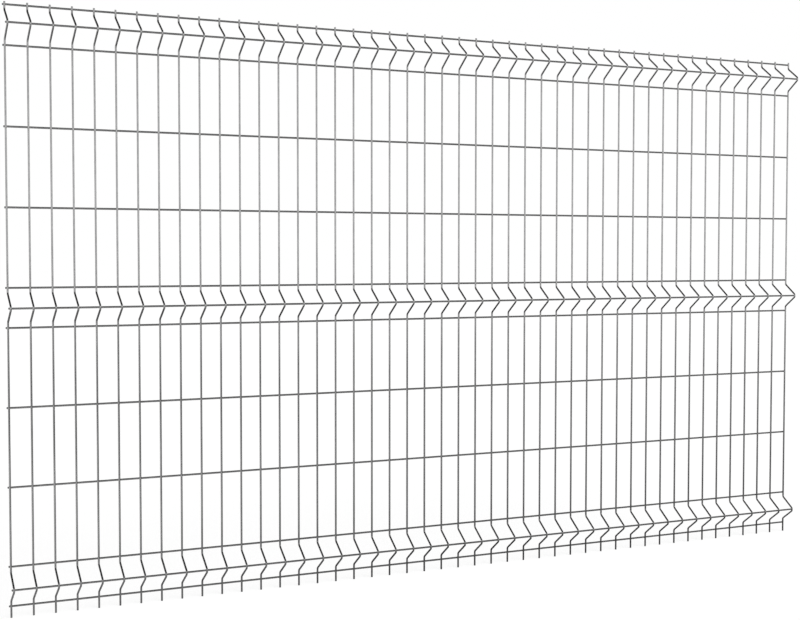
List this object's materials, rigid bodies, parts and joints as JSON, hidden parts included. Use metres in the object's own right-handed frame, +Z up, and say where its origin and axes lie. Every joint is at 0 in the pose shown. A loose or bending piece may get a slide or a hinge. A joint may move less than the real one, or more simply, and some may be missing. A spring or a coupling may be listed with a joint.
{
  "type": "welded steel mesh fence panel",
  "caption": "Flat welded wire mesh fence panel, stiffened by pressed V folds across it, with short wire spikes along its bottom edge.",
  "frame": {"origin": "on the back of the bottom edge wire, level with its centre line, straight behind the centre line of the first upright wire", "axes": "+X along the panel to its other end, +Y out of its back towards the posts, +Z up; the folds stand out towards -Y"},
  "size_m": [2.4913, 0.0527, 1.535],
  "materials": {
    "vertical_wire": "galvanised, dull grey zinc",
    "horizontal_wire": "galvanised, dull grey zinc"
  },
  "bodies": {
    "root": {"vertical_wire_01": "vertical_wire", "vertical_wire_02": "vertical_wire", "vertical_wire_03": "vertical_wire", "vertical_wire_04": "vertical_wire", "vertical_wire_05": "vertical_wire", "vertical_wire_06": "vertical_wire", "vertical_wire_07": "vertical_wire", "vertical_wire_08": "vertical_wire", "vertical_wire_09": "vertical_wire", "vertical_wire_10": "vertical_wire", "vertical_wire_11": "vertical_wire", "vertical_wire_12": "vertical_wire", "vertical_wire_13": "vertical_wire", "vertical_wire_14": "vertical_wire", "vertical_wire_15": "vertical_wire", "vertical_wire_16": "vertical_wire", "vertical_wire_17": "vertical_wire", "vertical_wire_18": "vertical_wire", "vertical_wire_19": "vertical_wire", "vertical_wire_20": "vertical_wire", "vertical_wire_21": "vertical_wire", "vertical_wire_22": "vertical_wire", "vertical_wire_23": "vertical_wire", "vertical_wire_24": "vertical_wire", "vertical_wire_25": "vertical_wire", "vertical_wire_26": "vertical_wire", "vertical_wire_27": "vertical_wire", "vertical_wire_28": "vertical_wire", "vertical_wire_29": "vertical_wire", "vertical_wire_30": "vertical_wire", "vertical_wire_31": "vertical_wire", "vertical_wire_32": "vertical_wire", "vertical_wire_33": "vertical_wire", "vertical_wire_34": "vertical_wire", "vertical_wire_35": "vertical_wire", "vertical_wire_36": "vertical_wire", "vertical_wire_37": "vertical_wire", "vertical_wire_38": "vertical_wire", "vertical_wire_39": "vertical_wire", "vertical_wire_40": "vertical_wire", "vertical_wire_41": "vertical_wire", "vertical_wire_42": "vertical_wire", "vertical_wire_43": "vertical_wire", "vertical_wire_44": "vertical_wire", "vertical_wire_45": "vertical_wire", "vertical_wire_46": "vertical_wire", "bottom_edge_wire": "horizontal_wire", "bottom_crest_wire": "horizontal_wire", "bottom_fold_upper_wire": "horizontal_wire", "lower_field_wire_1": "horizontal_wire", "lower_field_wire_2": "horizontal_wire", "middle_fold_lower_wire": "horizontal_wire", "middle_crest_wire": "horizontal_wire", "middle_fold_upper_wire": "horizontal_wire", "upper_field_wire_1": "horizontal_wire", "upper_field_wire_2": "horizontal_wire", "top_fold_lower_wire": "horizontal_wire", "top_crest_wire": "horizontal_wire", "top_edge_wire": "horizontal_wire"}
  },
  "joints": []
}
